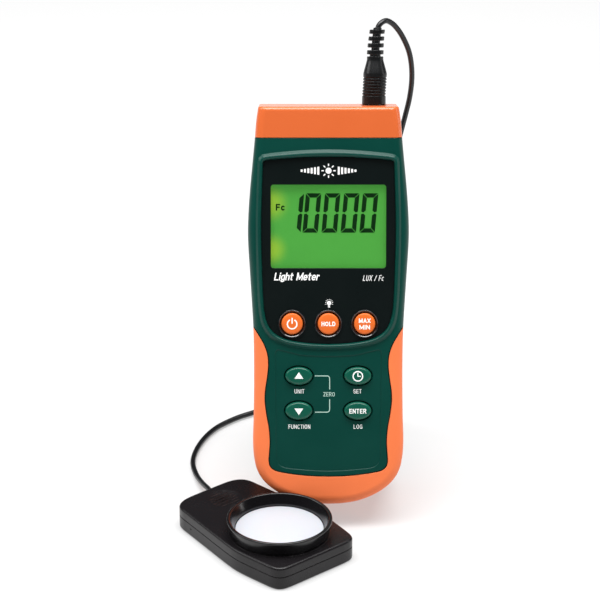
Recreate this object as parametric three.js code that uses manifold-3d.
// Handheld light meter with a plug-in light sensor head, built as an assembly.
// Millimetres, +Z up, floor at z = 0, front towards -Y. The meter leans back on its tilt
// stand and the sensor head lies on the floor in front of it, joined by its cable.
// The meter is modelled upright: x to the right seen from the front, y = depth, z = height.
import * as THREE from "three";
import { mergeVertices } from "three/addons/utils/BufferGeometryUtils.js";
import Module from "manifold-3d";

const wasm = await Module();
wasm.setup();

// ---------------------------------------------------------------- driving dimensions
const LEAN = 19; // degrees the meter leans back from upright
const STAND_OPEN = 39.5; // degrees from folded to deployed
const FRAME = [13.525, -41.817]; // x, y shift that centres the assembly's box on the origin
const METER_X = 0.4; // sideways place of the meter
const METER_Z = 12.22; // height of the meter's origin above the floor

const FRONT = 1.3; // front face of the case
const DEPTH = 46.5; // rear face, battery bulge
const DEPTH_UP = 39.2; // rear face above the bulge
const BULGE_Z = [113.9, 121.5]; // the bulge slopes away between these heights
const EDGE = 4.2; // roundness of the long edges
const HEEL = 10.1; // roundness of the heel, seen from the side
const WALL = 2.4;
const BOOT = 2.4; // boot thickness
const BOOT_TOP = 81;
const SPLIT = 20; // parting plane between front and rear case
const SPLIT_GAP = 0.15; // half the joint between them
const CAP_Z = 167.2; // joint between case and cap
const TOP = 181.1; // top of the cap
const GAP = 0.25;
const PIVOT = [44.9, 100]; // stand pivot: depth, height
const JACK = [20.75, 21]; // x and depth of the input jack

const AHEAD = -5; // depth clear of the front face, where cutters start
const BEHIND = 60; // depth clear of the rear face, where cutters end
const FAR = 200; // beyond every part

// ---------------------------------------------------------------- helpers
const cut = (body, ...others) => others.reduce((a, b) => a.subtract(b), body);
const join = (body, ...others) => others.reduce((a, b) => a.add(b), body);
const meet = (body, ...others) => others.reduce((a, b) => a.intersect(b), body);

// ranges
const around = (centre, half) => [centre - half, centre + half];
const across = (half) => [-half, half];
const shrink = ([from, to], margin) => [from + margin, to - margin];

function solid(geometry) {
  const bare = new THREE.BufferGeometry().setAttribute("position", geometry.getAttribute("position"));
  const merged = mergeVertices(bare.setIndex(geometry.index), 1e-4);
  const vertProperties = merged.attributes.position.array;
  const build = (triVerts) => new wasm.Manifold(new wasm.Mesh({ numProp: 3, vertProperties, triVerts }));
  const triangles = new Uint32Array(merged.index.array);
  const body = build(triangles);
  if (body.volume() >= 0) return body;
  // a profile turned the other way round comes out inside out
  for (let i = 0; i < triangles.length; i += 3) {
    [triangles[i + 1], triangles[i + 2]] = [triangles[i + 2], triangles[i + 1]];
  }
  return build(triangles);
}

function put(group, name, body, material) {
  const { vertProperties, triVerts } = body.getMesh();
  const geometry = new THREE.BufferGeometry();
  geometry.setAttribute("position", new THREE.BufferAttribute(new Float32Array(vertProperties), 3));
  geometry.setIndex(new THREE.BufferAttribute(triVerts, 1));
  geometry.computeVertexNormals();
  const mesh = new THREE.Mesh(geometry, material);
  mesh.name = name;
  group.add(mesh);
  return mesh;
}

// rows of the matrix that lays a geometry into place
const laid = (geometry, ...rows) =>
  solid(geometry.applyMatrix4(new THREE.Matrix4().set(...rows, 0, 0, 0, 1)));
const asX = (geometry, [y, z]) => laid(geometry, 0, 1, 0, 0, 0, 0, 1, y, 1, 0, 0, z);
const asY = (geometry, [x, z]) => solid(geometry.translate(x, 0, z));
const asZ = (geometry, [x, y]) => laid(geometry, 1, 0, 0, x, 0, 0, -1, y, 0, 1, 0, 0);

// a 2D outline extruded; bevel rounds both ends inside the outline
function extrude(points, [from, to], bevel = 0, segments = 2) {
  const shape = new THREE.Shape(points.map(([a, b]) => new THREE.Vector2(a, b)));
  const geometry = new THREE.ExtrudeGeometry(shape, {
    depth: to - from - 2 * bevel, steps: 1, curveSegments: 1, bevelEnabled: bevel > 0,
    bevelThickness: bevel, bevelSize: bevel, bevelOffset: -bevel, bevelSegments: segments,
  });
  return geometry.translate(0, 0, bevel);
}
// outline in (y, z), extruded along x
const plateX = (points, range, ...bevel) =>
  laid(extrude(points, range, ...bevel), 0, 0, 1, range[0], 1, 0, 0, 0, 0, 1, 0, 0);
// outline in (x, z), extruded in depth
const plateY = (points, range, ...bevel) => asZ(extrude(points, range, ...bevel), [0, range[1]]);
// outline in (x, y), extruded upwards
const plateZ = (points, range, ...bevel) =>
  solid(extrude(points, range, ...bevel).translate(0, 0, range[0]));

// box between ranges; a range left out runs past everything
function block({ x = across(FAR), y = across(FAR), z = across(FAR) }) {
  const box = new THREE.BoxGeometry(x[1] - x[0], y[1] - y[0], z[1] - z[0]);
  return solid(box.translate((x[0] + x[1]) / 2, (y[0] + y[1]) / 2, (z[0] + z[1]) / 2));
}

// round bar along an axis; place is its centre line in the other two coordinates
const rod = (radius, [from, to], segments = 16, endRadius = radius) =>
  new THREE.CylinderGeometry(endRadius, radius, to - from, segments).translate(0, (from + to) / 2, 0);
const barX = (radius, range, place, ...rest) => asX(rod(radius, range, ...rest), place);
const barY = (radius, range, place, ...rest) => asY(rod(radius, range, ...rest), place);
const barZ = (radius, range, place, ...rest) => asZ(rod(radius, range, ...rest), place);

// closed profile of (radius, distance along the axis), turned round Y or Z
const lathe = (profile, segments) =>
  new THREE.LatheGeometry([...profile, profile[0]].map(([a, b]) => new THREE.Vector2(a, b)), segments);
const turnY = (profile, segments, place) => asY(lathe(profile, segments), place);
const turnZ = (profile, segments, place = [0, 0]) => asZ(lathe(profile, segments), place);

// the same body on the +x side or mirrored to the -x side
const onSide = (side, body) => (side > 0 ? body : body.mirror([1, 0, 0]));
const bothSides = (body) => join(body, onSide(-1, body));

// ---------------------------------------------------------------- 2D outlines
const ellipse = ([x, z], [halfWidth, halfHeight], count) =>
  Array.from({ length: count }, (_, i) => {
    const angle = (2 * Math.PI * i) / count;
    return [x + halfWidth * Math.cos(angle), z + halfHeight * Math.sin(angle)];
  });

function roundRect([x0, x1], [z0, z1], radius, steps) {
  const centres = [
    [x1 - radius, z1 - radius], [x0 + radius, z1 - radius],
    [x0 + radius, z0 + radius], [x1 - radius, z0 + radius],
  ];
  return centres.flatMap(([x, z], corner) =>
    Array.from({ length: steps + 1 }, (_, i) => {
      const angle = (Math.PI / 2) * (corner + i / steps);
      return [x + radius * Math.cos(angle), z + radius * Math.sin(angle)];
    }));
}

// corners with their own radii, as [y, z, radius]
function roundPoly(corners, steps) {
  return corners.flatMap(([y, z, radius], i) => {
    if (!radius) return [[y, z]];
    const last = corners.at(i - 1);
    const next = corners[(i + 1) % corners.length];
    const toLast = new THREE.Vector2(last[0] - y, last[1] - z).normalize();
    const toNext = new THREE.Vector2(next[0] - y, next[1] - z).normalize();
    const half = Math.acos(THREE.MathUtils.clamp(toLast.dot(toNext), -1, 1)) / 2;
    // centre and ends of the arc, measured from the corner
    const centre = toLast.clone().add(toNext).normalize().multiplyScalar(radius / Math.sin(half));
    const start = toLast.multiplyScalar(radius / Math.tan(half)).sub(centre);
    const end = toNext.multiplyScalar(radius / Math.tan(half)).sub(centre);
    const startAngle = Math.atan2(start.y, start.x);
    let sweep = Math.atan2(end.y, end.x) - startAngle;
    if (sweep > Math.PI) sweep -= 2 * Math.PI;
    if (sweep < -Math.PI) sweep += 2 * Math.PI;
    return Array.from({ length: steps + 1 }, (_, k) => {
      const angle = startAngle + (sweep * k) / steps;
      return [y + centre.x + radius * Math.cos(angle), z + centre.y + radius * Math.sin(angle)];
    });
  });
}

// closes a right-hand half outline with its mirror image
const mirrored = (half) =>
  [...half, ...half.filter(([x]) => x > 0).reverse().map(([x, z]) => [-x, z])];

function signedArea(outline) {
  return outline.reduce((sum, [x, y], i) => {
    const [nextX, nextY] = outline[(i + 1) % outline.length];
    return sum + x * nextY - nextX * y;
  }, 0) / 2;
}

function distanceTo(outline, [x, y]) {
  return Math.min(...outline.map(([ax, ay], i) => {
    const [bx, by] = outline[(i + 1) % outline.length];
    const dx = bx - ax;
    const dy = by - ay;
    const along = ((x - ax) * dx + (y - ay) * dy) / (dx * dx + dy * dy);
    const t = Math.max(0, Math.min(1, along));
    return Math.hypot(x - ax - t * dx, y - ay - t * dy);
  }));
}

// outline moved inwards, dropping points that the move folds over
function inset(outline, distance) {
  if (!distance) return outline;
  const inwards = Math.sign(signedArea(outline)) * distance;
  const moved = outline.map(([x, y], i) => {
    const last = outline.at(i - 1);
    const next = outline[(i + 1) % outline.length];
    const normalIn = new THREE.Vector2(last[1] - y, x - last[0]).normalize();
    const normalOut = new THREE.Vector2(y - next[1], next[0] - x).normalize();
    const normal = normalIn.clone().add(normalOut).normalize();
    const reach = inwards / Math.max(0.5, normal.dot(normalIn));
    return [x + normal.x * reach, y + normal.y * reach];
  });
  return moved.filter((point) => distanceTo(outline, point) > Math.abs(distance) * 0.97);
}

// Right halves in (x, z) of the meter, from the bottom upwards.
// The case; it runs on past the top, where the side view ends it.
const OUTLINE = mirrored([
  [0, 0], [7, 0.3], [17, 2.6], [25.4, 6.9], [30.6, 12], [33.4, 19], [34.25, 28.5], [33.8, 46],
  [33.85, 76], [35.1, 99], [36.4, 121], [36.1, 134], [34.7, 151], [33.2, 167.2], [32.1, 178.6],
  [30.9, 182.2], [28.4, 190],
]);
// the green face where the boot leaves it free
const FACE = mirrored([
  [0, 13.2], [13.9, 14], [23.8, 15.7], [26.6, 18.6], [26.6, 30], [28, 41.5], [28.8, 49.5],
  [27.3, 62], [27.4, 68.4], [29, 73.5], [33.9, 81.4], [40, 90], [40, 200],
]);
const PANEL = mirrored([
  [0, 73.8], [10, 74.3], [20.2, 76.3], [25.6, 79.9], [28.5, 86], [29.7, 99], [30.35, 124],
  [29.5, 154.5], [28.2, 157], [13.5, 158.4], [0, 158.7],
]);
// the raised border round the display panel
const RIDGE = mirrored([
  [0, 71.5], [10.5, 71.9], [21.5, 74.1], [28, 78.4], [30.9, 85], [32, 99], [32.65, 124],
  [31.5, 156.3], [29, 159.4], [14.5, 161.3], [0, 161.9],
]);
const REAR_FACE = roundRect(across(28.7), [11.2, 140], 6, 3);

// the whole outer form, moved inwards
function form(margin) {
  const outline = inset(OUTLINE, margin);
  const edge = Math.max(1.2, EDGE - margin);
  const front = FRONT + margin;
  const back = DEPTH - margin;
  const backUp = DEPTH_UP - margin;
  const [bulgeEnd, slopeEnd] = BULGE_Z.map((z) => z - margin * 0.4);
  const side = (rear, ...top) => plateX(roundPoly([
    [front, margin, Math.max(1, 3.6 - margin)], [rear, margin, Math.max(2, HEEL - margin)], ...top,
  ], 3), across(FAR));
  const lowSide = side(back, [back, bulgeEnd, 0], [backUp, slopeEnd, 0], [front, slopeEnd, 0]);
  const upSide = side(backUp, [backUp, TOP - margin, 4], [front, TOP - margin, 1.8]);
  return join(
    meet(plateY(outline, [front, backUp], edge, 2), upSide),
    meet(plateY(outline, [front, back], edge, 2), lowSide));
}
const below = (z) => block({ z: [-FAR, z] });
const above = (z) => block({ z: [z, FAR] });

// ---------------------------------------------------------------- materials
const material = (color, finish) => new THREE.MeshStandardMaterial({ color, ...finish });
const GREEN = material(0x0a4a3f, { roughness: 0.5 });
const ORANGE = material(0xf0753a, { roughness: 0.5 });
const BLACK = material(0x15191a, { roughness: 0.35 });
const DARK = material(0x1b1b1c, { roughness: 0.45 });
const KEY_GREEN = material(0x0d6a52, { roughness: 0.5 });
const KEY_ORANGE = material(0xf4722b, { roughness: 0.45 });
const LCD_GREEN = material(0x54ad42, { roughness: 0.3 });
const CLEAR = material(0xdfeee6, { roughness: 0.05 });
const WHITE = material(0xf2f3f7, { roughness: 0.35 });
const STEEL = material(0xb9bcc0, { roughness: 0.3, metalness: 1 });
const BRASS = material(0xc39a4e, { roughness: 0.35, metalness: 1 });
const BOARD = material(0x1f5b34, { roughness: 0.6 });
const RUBBER = material(0x202021, { roughness: 0.7 });
const CELL = material(0x3a3f45, { roughness: 0.4 });
const GREY = material(0x8b8f92, { roughness: 0.5 });
const CYAN = material(0x6fb3a8, { roughness: 0.1 });
const CARD = material(0x23355c, { roughness: 0.5 });
const BLACK_METAL = material(0x2a2a2c, { roughness: 0.4, metalness: 0.6 });

// ---------------------------------------------------------------- groups
const HEAD_AT = [-21.6, -20.9]; // x, y of the sensor ring's centre, before the frame shift
const HEAD_TURN = -49.5; // degrees

const { degToRad } = THREE.MathUtils;
const meter = new THREE.Group();
meter.position.set(FRAME[0] + METER_X, FRAME[1], METER_Z);
meter.rotation.x = degToRad(-LEAN);
const head = new THREE.Group();
head.position.set(HEAD_AT[0] + FRAME[0], HEAD_AT[1] + FRAME[1], 0);
head.rotation.z = degToRad(HEAD_TURN);
const root = new THREE.Group();
root.add(meter, head);

// ---------------------------------------------------------------- shared openings
const outer = form(0);
// what the boot covers, drawn back by a margin
const bootZone = (margin) => cut(
  below(BOOT_TOP + margin),
  plateY(inset(FACE, margin), [AHEAD, 14 - margin]),
  plateY(inset(REAR_FACE, margin), [34 + margin, BEHIND]));
const bootCut = cut(bootZone(GAP), form(BOOT + GAP));

// the stand, folded, seen from the side: straight leg, then a toe round the heel
const STAND_THICK = 3.2;
const STAND_TOP = 102;
const STAND_HALF = 19.6; // half its width
const POCKET_HALF = 20.4;
function standSide(grow) {
  const inner = STAND_THICK + grow;
  const toeStep = degToRad(50 + grow * 3) / 4;
  const arc = (radius) => [0, 1, 2, 3, 4].map((i) => [
    DEPTH - HEEL + radius * Math.cos(toeStep * i), HEEL - radius * Math.sin(toeStep * i),
  ]);
  return [
    [DEPTH + grow, STAND_TOP + grow], ...arc(HEEL + grow),
    ...arc(HEEL - inner).reverse(), [DEPTH - inner, STAND_TOP + grow],
  ];
}
const standPocket = plateX(standSide(0.35), across(POCKET_HALF));

// the side door's outline in (y, z), less a margin
const SIDE_DOOR = { y: [8.5, 27], z: [27, 73] };
const sideOpening = (margin, radius) =>
  roundRect(shrink(SIDE_DOOR.y, margin), shrink(SIDE_DOOR.z, margin), radius, 2);
const sideOpenings = join(
  plateX(sideOpening(0, 3), [31.2, 60]), // seat of the door
  plateX(sideOpening(1.6, 2), [20, 60])); // well in front of the sockets
const doorHole = plateX(sideOpening(0, 3), [31.2, 60]);

// slot and finger notch through the heel for the memory card
const CARD_Y = 12.4;
const cardOpening = join(
  block({ x: across(12.8), y: around(CARD_Y, 1.7), z: [-5, 12] }),
  barY(7, around(CARD_Y, 3.2), [0, -4.6], 16));

const CAVITY_Y = [4.9, 42]; // depth of the hollow, at the bulge
const CAVITY_STEP = 84; // below this the hollow keeps clear of the boot
const hollow = inset(OUTLINE, WALL);
const cavity = join(
  meet(plateY(hollow, [CAVITY_Y[0], DEPTH_UP - WALL]), above(CAVITY_STEP)),
  meet(plateY(hollow, CAVITY_Y), block({ z: [CAVITY_STEP, BULGE_Z[0] - 1.5] })),
  meet(form(BOOT + GAP + 2.2), block({ y: CAVITY_Y, z: [-FAR, CAVITY_STEP + 0.2] })),
  meet(plateY(inset(FACE, 2.6), [CAVITY_Y[0], 12]), below(86)));

const CASE_SCREWS = [[-27.6, 156], [27.6, 156], [-29.4, 126], [29.4, 126]]; // x, z
const TRIPOD = [0, 140]; // x, z
const DOOR = { x: across(27.9), z: [14.6, 113.3] }; // battery door
const DOOR_SCREW = [24, 110.9]; // x, z of the one on the +x side
const LCD = { x: across(26), z: [108.3, 146.1] };
const ROUND_KEYS = [["power_button", -16.4], ["hold_button", 0], ["max_min_button", 16.4]]; // x
const ROUND_Z = 83.2;
const ROUND_R = 4.82;
const OVAL_X = 13.35;
const OVAL_Z = [59.4, 43.45];
const OVAL = [6.2, 4.08]; // half width and half height
const OVAL_KEYS = [ // x, z
  ["up_button", [-OVAL_X, OVAL_Z[0]]], ["down_button", [-OVAL_X, OVAL_Z[1]]],
  ["set_button", [OVAL_X, OVAL_Z[0]]], ["enter_button", [OVAL_X, OVAL_Z[1]]],
];
const oval = (place, grow, count) => ellipse(place, OVAL.map((size) => size + grow), count);

// ---------------------------------------------------------------- case, boot and cap
function frontCase() {
  let body = meet(outer, block({ y: [-FAR, SPLIT - SPLIT_GAP], z: [-FAR, CAP_Z - 0.2] }));
  body = cut(body, cavity, bootCut);
  body = join(body, meet(plateY(RIDGE, [0, 6], 1.1, 1), block({ y: [-FAR, CAVITY_Y[0]] })));
  for (const place of CASE_SCREWS) {
    body = join(body, barY(3, [4.5, 25.6], place, 10));
    body = cut(body, barY(1.5, [12, 27], place, 10));
  }
  // seat of the display panel, and the opening behind it
  body = cut(body, plateY(inset(PANEL, -0.15), [AHEAD, 3.55]), plateY(inset(PANEL, 2.2), [AHEAD, 8]));
  for (const [, place] of OVAL_KEYS) body = cut(body, plateY(oval(place, 0.45, 16), [AHEAD, 8]));
  return cut(body, sideOpenings, cardOpening);
}
put(meter, "front_case", frontCase(), GREEN);

function rearCase() {
  let body = meet(outer, block({ y: [SPLIT + SPLIT_GAP, FAR], z: [-FAR, CAP_Z - 0.2] }));
  body = cut(body, cavity, bootCut);
  for (const place of CASE_SCREWS) body = join(body, meet(barY(3.6, [26, 38], place, 10), outer));
  body = join(body, barY(7, [28.6, 37], TRIPOD, 16));
  for (const place of CASE_SCREWS) {
    body = cut(body, barY(1.7, [20, BEHIND], place, 10), barY(3.2, [36.4, BEHIND], place, 12));
  }
  const doorSeat = roundRect(shrink(DOOR.x, -0.3), shrink(DOOR.z, -0.3), 3.3, 3);
  return cut(body,
    barY(4.75, [30, BEHIND], TRIPOD, 16),
    plateY(doorSeat, [44, BEHIND]),
    plateY(roundRect(across(26.9), [18.9, 108.6], 1.5, 2), [40, BEHIND]), // battery bay
    standPocket, sideOpenings,
    bothSides(barY(1.5, [20, BEHIND], DOOR_SCREW, 10)));
}
put(meter, "rear_case", rearCase(), GREEN);

const boot = cut(meet(outer, bootZone(0)), form(BOOT), doorHole, cardOpening, standPocket);
put(meter, "grip_boot", boot, ORANGE);

const capHollow = meet(plateY(inset(OUTLINE, WALL + 0.2), [4.2, DEPTH_UP - WALL]), below(179.6));
const cap = cut(meet(outer, above(CAP_Z)), capHollow, barZ(6.35, [170, 200], JACK, 20));
put(meter, "top_cap", cap, ORANGE);

// ---------------------------------------------------------------- display
function displayPanel() {
  let body = plateY(PANEL, [1.7, 3.4], 0.25, 1);
  for (const [, x] of ROUND_KEYS) { // raised rims round the keys
    body = join(body, plateY(ellipse([x, ROUND_Z], [6.2, 6.2], 16), [0.7, 3], 0.5, 1));
  }
  for (const [, x] of ROUND_KEYS) body = cut(body, barY(ROUND_R + 0.4, [AHEAD, 6], [x, ROUND_Z], 16));
  return cut(body, plateY(roundRect(LCD.x, LCD.z, 1.2, 2), [AHEAD, 6]));
}
put(meter, "display_panel", displayPanel(), BLACK);
const windowOutline = roundRect(shrink(LCD.x, 0.25), shrink(LCD.z, 0.25), 1, 2);
put(meter, "display_window", plateY(windowOutline, [2, 3.2]), CLEAR);
const GLASS = { x: across(27.1), z: [105.6, 148.4] };
put(meter, "lcd_glass", block({ ...GLASS, y: [3.75, 5.6] }), LCD_GREEN);
put(meter, "backlight_guide", block({ ...GLASS, y: [5.8, 8] }), WHITE);

// ---------------------------------------------------------------- keys
const roundKey = (place) => join(
  turnY([[0, 0.25], [3.6, 0.5], [ROUND_R, 1.3], [ROUND_R, 5], [0, 5]], 16, place),
  barY(5.3, [4.95, 5.8], place, 12)); // flange behind the panel
const ovalKey = (place) => join(
  plateY(oval(place, 0, 16), [-0.3, 5.2], 0.8, 1),
  plateY(oval(place, 1.1, 8), [5.15, 6])); // flange behind the face
for (const [name, x] of ROUND_KEYS) put(meter, name, roundKey([x, ROUND_Z]), KEY_ORANGE);
for (const [name, place] of OVAL_KEYS) put(meter, name, ovalKey(place), KEY_GREEN);
put(meter, "keypad_mat", plateY(roundRect(across(25), [35, 92], 3, 2), [7, 8.2]), RUBBER);

// ---------------------------------------------------------------- electronics
const BOARD_OUTLINE = mirrored([[0, 30], [25.5, 30], [25.5, 149], [23.2, 151.3], [23.2, 163], [0, 163]]);
put(meter, "main_board", plateY(BOARD_OUTLINE, [8.5, 10.1]), BOARD);
put(meter, "buzzer", barY(6, [10.25, 13.4], [-14, 152], 16), BLACK);
const cardSocket = cut(
  block({ x: across(14.2), y: [10.3, 14.6], z: [12.4, 40] }),
  block({ x: across(12.4), y: [11.1, 13.75], z: [5, 38.5] }));
put(meter, "sd_socket", cardSocket, STEEL);
const CARD_OUTLINE = [[-12, 3.4], [12, 3.4], [12, 32.5], [9.2, 35.3], [-12, 35.3]]; // x, z
put(meter, "sd_card", plateY(CARD_OUTLINE, [11.35, 13.45]), CARD);

// ---------------------------------------------------------------- sockets behind the side door
const PORT_Y = 17.7;
const DC = [PORT_Y, 62]; // depth, height
const SERIAL = [PORT_Y, 49.5];
const RESET = [PORT_Y, 38];

const portPlate = cut(
  plateX(sideOpening(2, 1.6), [27.8, 28.9]),
  barX(4.6, [20, 40], DC, 20), barX(3.9, [20, 40], SERIAL, 20), barX(1.6, [20, 40], RESET, 14));
put(meter, "port_plate", portPlate, BLACK);

function socket(place, { collar, bore }) {
  const body = block({ x: [15, 27.4], y: around(place[0], 5), z: around(place[1], 5) });
  return cut(join(body, barX(collar, [27, 29.6], place, 20)), barX(bore, [17, 31], place, 18));
}
const dcPin = barX(1, [16, 28], DC, 10);
put(meter, "dc_jack", join(socket(DC, { collar: 4.3, bore: 2.9 }), dcPin), BLACK);
put(meter, "serial_jack", socket(SERIAL, { collar: 3.6, bore: 1.8 }), BLACK);
const resetSwitch = block({ x: [19, 24], y: around(RESET[0], 3), z: around(RESET[1], 3) });
put(meter, "reset_switch", resetSwitch, BLACK);
const resetButton = join(barX(1.3, [25.2, 28.4], RESET, 14), barX(2.2, [24.9, 25.7], RESET, 14));
put(meter, "reset_button", resetButton, GREY);

// side door: follows the outer surface, thinned along its rear edge so that it bends there
const HINGE_Y = 26.7;
const sideDoor = cut(
  meet(outer, plateX(sideOpening(0.3, 2.7), [20, 60]), block({ x: [31.8, FAR] })),
  block({ x: [30, 32.7], y: [HINGE_Y - 2.4, HINGE_Y - 1.5], z: [20, 80] }));
put(meter, "side_door", sideDoor, ORANGE);

// ---------------------------------------------------------------- input jack and plug
const JACK_Z = [160.5, TOP - 0.3];
const JACK_R = [3.65, 6]; // bore and outside
const jackTube = JACK_Z.flatMap((z, i) => (i ? [...JACK_R].reverse() : JACK_R).map((r) => [r, z]));
put(meter, "input_jack", join(turnZ(jackTube, 20, JACK), barZ(4, [160.5, 163], JACK, 20)), BLACK_METAL);
const BARREL = [[0, 170.5], [2.4, 170.5], [3.25, 171.5], [3.25, 183.2], [0, 183.2]]; // radius, z
put(meter, "plug_barrel", turnZ(BARREL, 18, JACK), STEEL);

// sideways shift: the moulded grip leans a little, its strain relief bends with the cable
function gripLean(z) {
  const t = Math.min(1, Math.max(0, (z - 183) / 13));
  return 0.55 * t * t * (3 - 2 * t) + 0.95 * Math.max(0, (z - 203) / 12) ** 1.6;
}
const GRIP = [ // radius, z
  [0, 183.45], [3.6, 183.45], [3.6, TOP + 0.25], [5.42, TOP + 0.25], [5.38, 185.2],
  ...[0, 1, 2].flatMap((i) => [[4.98, 186.1 + i * 3], [5.38, 187 + i * 3]]), // finger grooves
  [5.36, 195.6], [3.75, 201.4], [3.75, 203.1],
  ...[0, 1, 2, 3].flatMap((i) => { // ribs of the strain relief
    const z = 203.15 + i * 3.1;
    const root = 2.5 + i * 0.13;
    const rib = 3.8 - i * 0.1;
    return [[root, z], [root, z + 1], [rib, z + 1.05], [rib, z + 3.05]];
  }),
  [2.9, 215.6], [2.4, 212], [1.75, 209.5], [1.75, 205], [0, 205],
];
const grip = turnZ(GRIP, 10, JACK).warp((point) => {
  point[0] += gripLean(point[2]);
});
put(meter, "plug_grip", grip, RUBBER);

// ---------------------------------------------------------------- battery bay
const CELLS = [0, 1, 2, 3, 4, 5].map((i) => ({
  place: [32.5, 26.4 + 14.9 * i], // depth, height
  side: i % 2 ? 1 : -1, // where its raised terminal points
}));

const tray = cut(
  block({ x: across(27.5), y: [23.6, 41.3], z: [18.3, 109] }),
  block({ x: across(26.8), y: [24.6, BEHIND], z: [18.9, 108.4] }));
put(meter, "battery_tray", meet(tray, form(BOOT + GAP + 2.5)), DARK);

CELLS.forEach(({ place, side }, i) => {
  const terminal = onSide(side, barX(2.6, [23.5, 24.7], place, 8));
  put(meter, "battery_" + (i + 1), join(barX(7.1, across(23.6), place, 12), terminal), CELL);
});

function contacts(side) {
  let strip = block({ x: [26.1, 26.6], y: [26.5, 38.5], z: [20, 107.4] });
  for (const cell of CELLS) { // a short cone to the raised terminal, a longer one to the flat end
    const [radius, reach] = cell.side === side ? [2.2, 24.95] : [4.2, 23.9];
    strip = join(strip, barX(radius * 0.75, [reach, 26.3], cell.place, 6, radius));
  }
  return onSide(side, strip);
}
put(meter, "battery_contacts_left", contacts(-1), STEEL);
put(meter, "battery_contacts_right", contacts(1), STEEL);

// battery door with the pocket that the stand folds into, and two ears for the hinge pin
const EAR_X = [7, 11.2];
const EAR_R = 2.1;
const PIN_HOLE = barX(1.2, across(30), PIVOT, 12);
function batteryDoor() {
  let body = plateY(roundRect(DOOR.x, DOOR.z, 3, 3), [44.2, DEPTH]);
  body = join(body, block({ x: across(21.8), y: [41.75, 45], z: [19.2, 105] }));
  body = cut(body, block({ x: across(POCKET_HALF), y: [42.95, BEHIND], z: [-5, 103.6] }));
  const ear = join(
    meet(barX(EAR_R, EAR_X, PIVOT, 14), block({ y: [-FAR, DEPTH] })),
    block({ x: EAR_X, y: [42.6, PIVOT[0]], z: around(PIVOT[1], EAR_R) }));
  const screwHole = join(
    barY(1.5, [40, BEHIND], DOOR_SCREW, 12), barY(3, [45.2, BEHIND], DOOR_SCREW, 12));
  body = cut(join(body, bothSides(ear)), bothSides(screwHole), PIN_HOLE);
  return meet(body, join(
    block({ x: across(26.6), y: [-FAR, 44.1], z: [19.2, 108.3] }), block({ y: [43.9, FAR] })));
}
put(meter, "battery_door", batteryDoor(), GREEN);

// cross-headed screw driven from behind; y is the depth of its head's face
function screw([x, z], { y, length, radius, headRadius, headHeight }) {
  const seat = y - headHeight;
  const slot = (halfX, halfZ) =>
    block({ x: around(x, halfX), y: [y - 0.7, y + 1], z: around(z, halfZ) });
  return cut(
    join(barY(radius, [seat - length, seat + 0.05], [x, z], 6), barY(headRadius, [seat, y], [x, z], 10)),
    slot(headRadius * 0.6, 0.35), slot(0.35, headRadius * 0.6));
}
const DOOR_SCREW_SIZE = { y: 46.3, length: 7, radius: 1.15, headRadius: 2.7, headHeight: 0.9 };
const CASE_SCREW_SIZE = { y: 38.4, length: 18, radius: 1.25, headRadius: 2.9, headHeight: 1.7 };
// left and right as seen from behind
const [doorScrewX, doorScrewZ] = DOOR_SCREW;
put(meter, "battery_door_screw_left", screw(DOOR_SCREW, DOOR_SCREW_SIZE), STEEL);
put(meter, "battery_door_screw_right", screw([-doorScrewX, doorScrewZ], DOOR_SCREW_SIZE), STEEL);
put(meter, "stand_hinge_pin", barX(0.95, across(18.6), PIVOT, 12), STEEL);
CASE_SCREWS.forEach((place, i) => {
  put(meter, "case_screw_" + (i + 1), screw(place, CASE_SCREW_SIZE), STEEL);
});
const insert = cut(barY(4.5, [30.3, DEPTH_UP], TRIPOD, 16), barY(2.6, [31.5, BEHIND], TRIPOD, 16));
put(meter, "tripod_insert", insert, BRASS);

// ---------------------------------------------------------------- tilt stand
const EYE_R = 1.6;
function tiltStand() {
  let body = plateX(standSide(0), across(STAND_HALF));
  body = cut(body,
    block({ x: across(11.4), y: [30, BEHIND], z: [96.6, 110] }), // room for the door's ears
    plateY(roundRect(across(11.2), [22, 90], 4, 3), [30, BEHIND]));
  body = meet(body, join(below(99), barX(EYE_R, across(FAR), PIVOT, 14))); // round the top
  return cut(join(body, bothSides(barX(EYE_R, [11.6, STAND_HALF], PIVOT, 14))), PIN_HOLE);
}
const hinge = new THREE.Group();
hinge.position.set(0, ...PIVOT);
hinge.rotation.x = degToRad(STAND_OPEN);
meter.add(hinge);
put(hinge, "tilt_stand", tiltStand(), DARK).position.set(0, -PIVOT[0], -PIVOT[1]);

// ---------------------------------------------------------------- sensor head
// +x towards its front, centred on the ring, lying on z = 0
const HEAD_H = 10.8;
const HEAD_SPLIT = 6.2; // height of the joint between the housings
const HEAD_WALL = 1.8;
const CABLE_Y = 4.7; // the cable enters the rear end off centre
const HEAD_SIDE = [ // x, y of the +y side, rear to front
  [-51.8, 12], [-50.4, 17], [-46.9, 20.1], [-40, 21.3], [-12, 24.7], [-4, 25.6], [1.5, 25.75],
  [12, 24.5], [22, 23.1], [25.6, 20.9], [26.75, 15],
];
const HEAD = [...HEAD_SIDE, ...[...HEAD_SIDE].reverse().map(([x, y]) => [x, -y])];
const HEAD_BOSSES = [[-42, 14.5], [-42, -14.5], [21.3, 17.6], [21.3, -17.6]];
const HEAD_SCREWS = [HEAD_BOSSES[1], HEAD_BOSSES[2]];
const BOARD_PEGS = [[-14, 12], [-14, -12], [13, 12], [13, -12]];
const cableEntry = barX(1.65, [-60, -44], [CABLE_Y, HEAD_SPLIT], 12);

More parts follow.
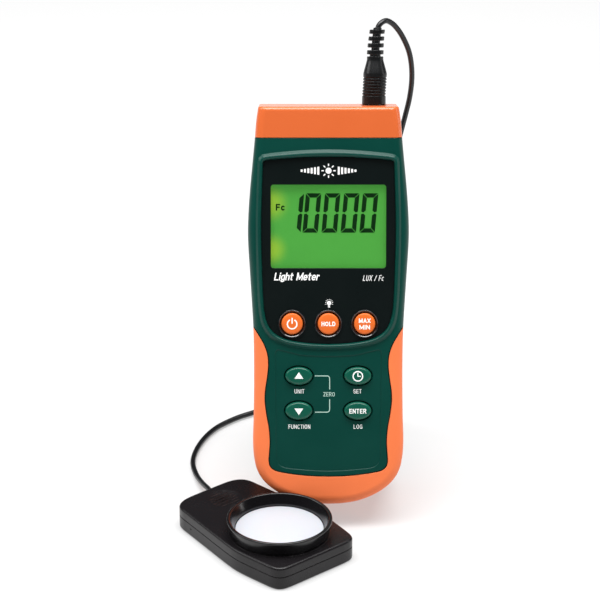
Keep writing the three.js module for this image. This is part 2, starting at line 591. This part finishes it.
function lowerHousing() {
  const top = HEAD_SPLIT - 0.1;
  let body = meet(plateZ(HEAD, [0, HEAD_H], 0.8, 1), below(top));
  body = cut(body, plateZ(inset(HEAD, HEAD_WALL), [HEAD_WALL, 20]));
  for (const place of HEAD_BOSSES) body = join(body, barZ(3, [1, top], place, 10));
  for (const place of BOARD_PEGS) body = join(body, barZ(1.6, [1, 4.2], place, 6));
  for (const place of HEAD_SCREWS) {
    body = cut(body, barZ(1.4, [-1, 20], place, 10), barZ(2.3, [-1, 2.1], place, 12));
  }
  return cut(body, cableEntry);
}
put(head, "sensor_lower_housing", lowerHousing(), DARK);

const DISH_X = -39.5; // centre of the round thumb dish
const DISH = [[0, 9.9], [4.4, 10.13], [8.8, 10.85], [8.8, 12], [0, 12]]; // radius, z
function upperHousing() {
  const bottom = HEAD_SPLIT + 0.1;
  const well = barZ(15, [0, 20], [0, 0], 20);
  let body = meet(plateZ(HEAD, [0, HEAD_H], 1.5, 2), above(bottom));
  body = cut(body, plateZ(inset(HEAD, HEAD_WALL), [-5, HEAD_H - HEAD_WALL]));
  for (const place of HEAD_BOSSES) body = join(body, barZ(3, [bottom, HEAD_H - 1.5], place, 10));
  for (const place of HEAD_SCREWS) body = cut(body, barZ(1.2, [0, 9.6], place, 8));
  body = cut(body, well, cableEntry, turnZ(DISH, 24, [DISH_X, 0]));
  for (let i = -3; i <= 3; i++) { // ribs across the thumb dish
    const offset = i * 2.05;
    const reach = Math.sqrt(8.2 ** 2 - offset ** 2);
    body = join(body, block({ x: around(DISH_X + offset, 0.4), y: across(reach), z: [9.6, 10.5] }));
  }
  return join(body, cut(barZ(22.9, [10.3, 10.9], [0, 0], 28), well)); // land under the ring
}
put(head, "sensor_upper_housing", upperHousing(), DARK);

const RING = [ // radius, z
  [20.1, 11], [22.1, 11], [22.6, 12.6], [23.7, 17.1], [23.3, 17.9], [22.1, 17.7], [20.1, 13.2],
];
put(head, "sensor_ring", turnZ(RING, 28), BLACK);
const DOME = [ // radius, z
  [16.6, 11], [19.85, 11], [19.85, 12.6], [15, 13.45], [8, 14.1], [0, 14.3], [0, 12.6], [9, 12.1],
];
put(head, "diffuser_dome", turnZ(DOME, 24), WHITE);
put(head, "optical_filter", barZ(6.2, [8.35, 10.1], [0, 0], 20), CYAN);
const photodiode = join(barZ(4.6, [6.1, 8.1], [0, 0], 18), barZ(5.2, [6.1, 6.6], [0, 0], 18));
put(head, "photodiode", photodiode, STEEL);
put(head, "sensor_board", plateZ(roundRect([-18, 17], across(15), 2, 1), [4.4, 5.9]), BOARD);
const clamp = cut(
  block({ x: [-47.5, -43.8], y: around(CABLE_Y, 3.6), z: [2, 8.6] }),
  barX(1.5, [-60, -40], [CABLE_Y, HEAD_SPLIT], 12));
put(head, "cable_clamp", clamp, GREY);

// cross-headed, driven from below
function headScrew([x, y]) {
  const slot = (halfX, halfY) => block({ x: around(x, halfX), y: around(y, halfY), z: [-1, 1] });
  return cut(
    join(barZ(0.95, [1.4, 8.6], [x, y], 8), barZ(2, [0.5, 1.6], [x, y], 12)),
    slot(1.2, 0.3), slot(0.3, 1.2));
}
HEAD_SCREWS.forEach((place, i) => put(head, "sensor_screw_" + (i + 1), headScrew(place), STEEL));

// ---------------------------------------------------------------- cable
// from the plug round behind the meter to the sensor head
const CABLE_R = 1.25;
const GRIP_Z = [206, 210, 213, 215.2]; // heights of the points inside the grip
// y and z in the meter's frame, x in the assembly's before the frame shift
const OFF_PLUG = [
  [23.5, 21.2, 217.3], [25, 22, 218.7], [26.8, 23.6, 219.3], [29.6, 26, 218],
  [32.6, 29, 214.8], [35.3, 32, 210.4], [37.6, 35, 205], [38.9, 38.5, 198.6],
  [39.2, 42, 191.6], [38.4, 46, 183.6], [36.7, 50, 175.6], [34.4, 54.4, 166],
];
// x, y, z before the frame shift: down to the floor and round to the head
const OVER_FLOOR = [
  [31.6, 107.5, 138], [30.6, 112, 112], [30.4, 117, 84], [30.2, 122.5, 56], [29.8, 128, 30],
  [28, 132.6, 12], [24.4, 135.6, 3.4], [18.6, 136.4, 1.55], [8, 135.2, 1.45], [-4, 131.6, 1.45],
  [-17, 125, 1.45], [-28, 117.6, 1.45], [-36.8, 111.6, 1.45], [-42.6, 107.5, 1.45],
  [-48.4, 102, 1.45], [-52.2, 97.7, 1.45], [-55.4, 92.6, 1.45], [-57.9, 87.4, 1.45],
  [-60.1, 81.4, 1.45], [-61.8, 75.1, 1.45], [-62.9, 69, 1.45], [-63.4, 63.1, 1.45],
  [-63, 56.8, 1.5], [-61.9, 51, 1.65], [-60.8, 46.5, 1.95], [-59.4, 41.4, 2.7],
  [-57.6, 35.6, 3.8], [-55.4, 29.4, 5.1],
];
const INTO_HEAD = [ // in the head's frame
  [-54.4, CABLE_Y + 0.15, 6.05],
  ...[-51.8, -48, -42.5].map((x) => [x, CABLE_Y, HEAD_SPLIT]),
];

function cable() {
  meter.updateMatrix();
  head.updateMatrix();
  const from = (group, x, y, z) => new THREE.Vector3(x, y, z).applyMatrix4(group.matrix);
  const route = new THREE.CatmullRomCurve3([
    ...GRIP_Z.map((z) => from(meter, JACK[0] + gripLean(z), JACK[1], z)),
    ...OFF_PLUG.map(([x, y, z]) => from(meter, x - METER_X, y, z)),
    ...OVER_FLOOR.map(([x, y, z]) => new THREE.Vector3(x + FRAME[0], y + FRAME[1], z)),
    ...INTO_HEAD.map((point) => from(head, ...point)),
  ], false, "centripetal");
  const section = ellipse([0, 0], [CABLE_R, CABLE_R], 6).map(([a, b]) => new THREE.Vector2(a, b));
  const mesh = new THREE.Mesh(new THREE.ExtrudeGeometry(new THREE.Shape(section), {
    steps: 58, extrudePath: route, curveSegments: 1, bevelEnabled: false,
  }), RUBBER);
  mesh.name = "sensor_cable";
  return mesh;
}
root.add(cable());

export default root;
